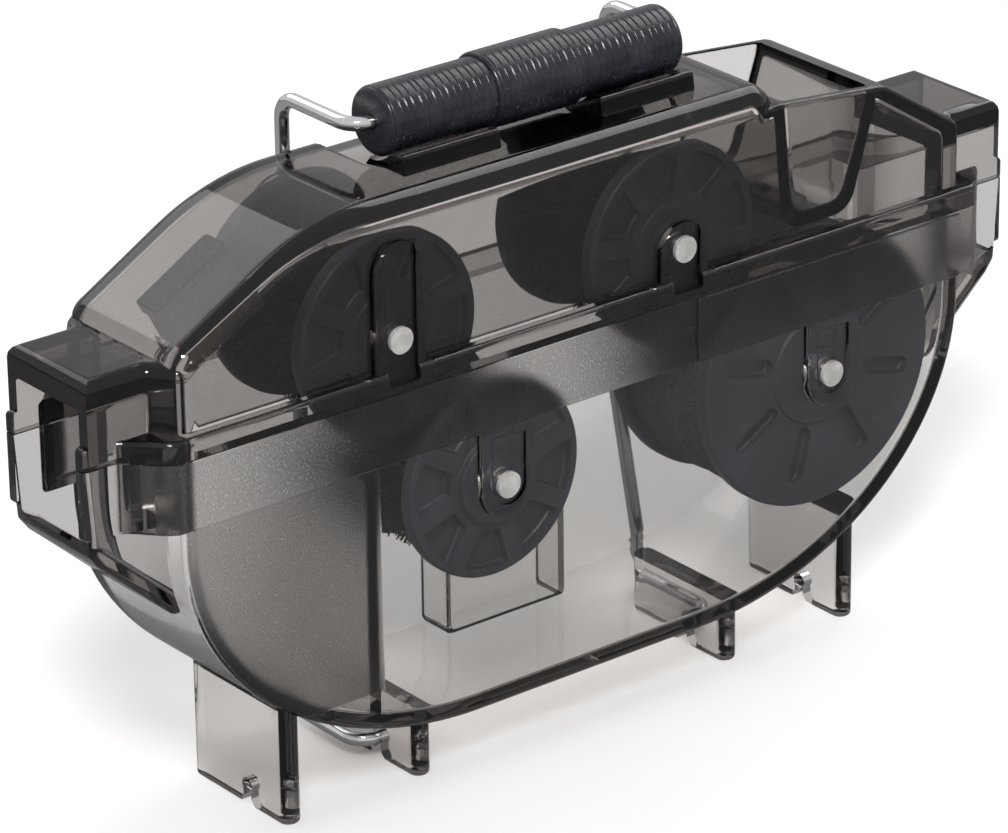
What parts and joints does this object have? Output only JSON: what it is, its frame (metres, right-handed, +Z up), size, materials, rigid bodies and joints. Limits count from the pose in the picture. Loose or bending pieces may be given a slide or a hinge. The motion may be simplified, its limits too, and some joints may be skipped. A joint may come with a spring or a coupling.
{
  "type": "bike chain cleaner",
  "caption": "Clear bicycle chain cleaner: curved tub and lift-off lid with brush and sponge wheels, chain ports at both ends, filler trough, feet and a swing-over wire bail with ringed grip.",
  "frame": {"origin": "middle of the bounding box, on the plane that the feet stand on", "axes": "+X along the chain towards the filler trough, +Y towards the bail's arms at the back, +Z up"},
  "size_m": [0.204, 0.0405, 0.1245],
  "materials": {
    "clear_plastic": "clear smoky plastic, glossy, with a fine matt belt round the seam",
    "axle_steel": "bright drawn steel",
    "wheel_plastic": "black plastic, satin",
    "wheel_bristle": "dark nylon bristles",
    "foam": "dark open foam",
    "brush_back": "black plastic",
    "fixed_bristle": "brown nylon bristles",
    "bail_chrome": "polished wire",
    "grip_rubber": "black ringed rubber, matt"
  },
  "bodies": {
    "tub": {"lower_shell": "clear_plastic", "axle_lower_left": "axle_steel", "axle_lower_right": "axle_steel"},
    "lid": {"lid": "clear_plastic", "axle_upper_left": "axle_steel", "axle_upper_middle": "axle_steel", "fixed_brush_back": "brush_back", "fixed_brush_bristles": "fixed_bristle"},
    "wheel_upper_left": {"brush_wheel_left_front_disc": "wheel_plastic", "brush_wheel_left_rear_disc": "wheel_plastic", "brush_wheel_left_bristles": "wheel_bristle"},
    "wheel_upper_middle": {"brush_wheel_middle_front_disc": "wheel_plastic", "brush_wheel_middle_rear_disc": "wheel_plastic", "brush_wheel_middle_bristles": "wheel_bristle"},
    "wheel_lower_left": {"brush_wheel_lower_front_disc": "wheel_plastic", "brush_wheel_lower_rear_disc": "wheel_plastic", "brush_wheel_lower_bristles": "wheel_bristle"},
    "wheel_lower_right": {"sponge_wheel_front_disc": "wheel_plastic", "sponge_wheel_rear_disc": "wheel_plastic", "sponge_ring": "foam"},
    "bail": {"bail_wire": "bail_chrome", "grip_left": "grip_rubber", "grip_middle": "grip_rubber", "grip_right": "grip_rubber"}
  },
  "joints": [
    {"name": "bail_swing", "type": "hinge", "parent": "tub", "child": "bail", "pos_m": [0, -0.00378, 0.0039], "axis": [-1, 0, 0], "range_deg": [0, 60]},
    {"name": "lid_lift", "type": "slide", "parent": "tub", "child": "lid", "axis": [0, 0, 1], "range_m": [0, 0.0084]},
    {"name": "wheel_upper_left_spin", "type": "hinge", "parent": "lid", "child": "wheel_upper_left", "pos_m": [-0.0415, -0.00128, 0.0857], "axis": [0, 1, 0], "continuous": true},
    {"name": "wheel_upper_middle_spin", "type": "hinge", "parent": "lid", "child": "wheel_upper_middle", "pos_m": [0.0208, -0.00128, 0.0857], "axis": [0, 1, 0], "continuous": true},
    {"name": "wheel_lower_left_spin", "type": "hinge", "parent": "tub", "child": "wheel_lower_left", "pos_m": [-0.0194, -0.00128, 0.0529], "axis": [0, 1, 0], "continuous": true},
    {"name": "sponge_wheel_spin", "type": "hinge", "parent": "tub", "child": "wheel_lower_right", "pos_m": [0.0548, -0.00128, 0.0529], "axis": [0, 1, 0], "continuous": true}
  ],
  "couplings": [
    {"joint": "lid_lift", "follows": "bail_swing", "m_per_rad": 0.008}
  ]
}
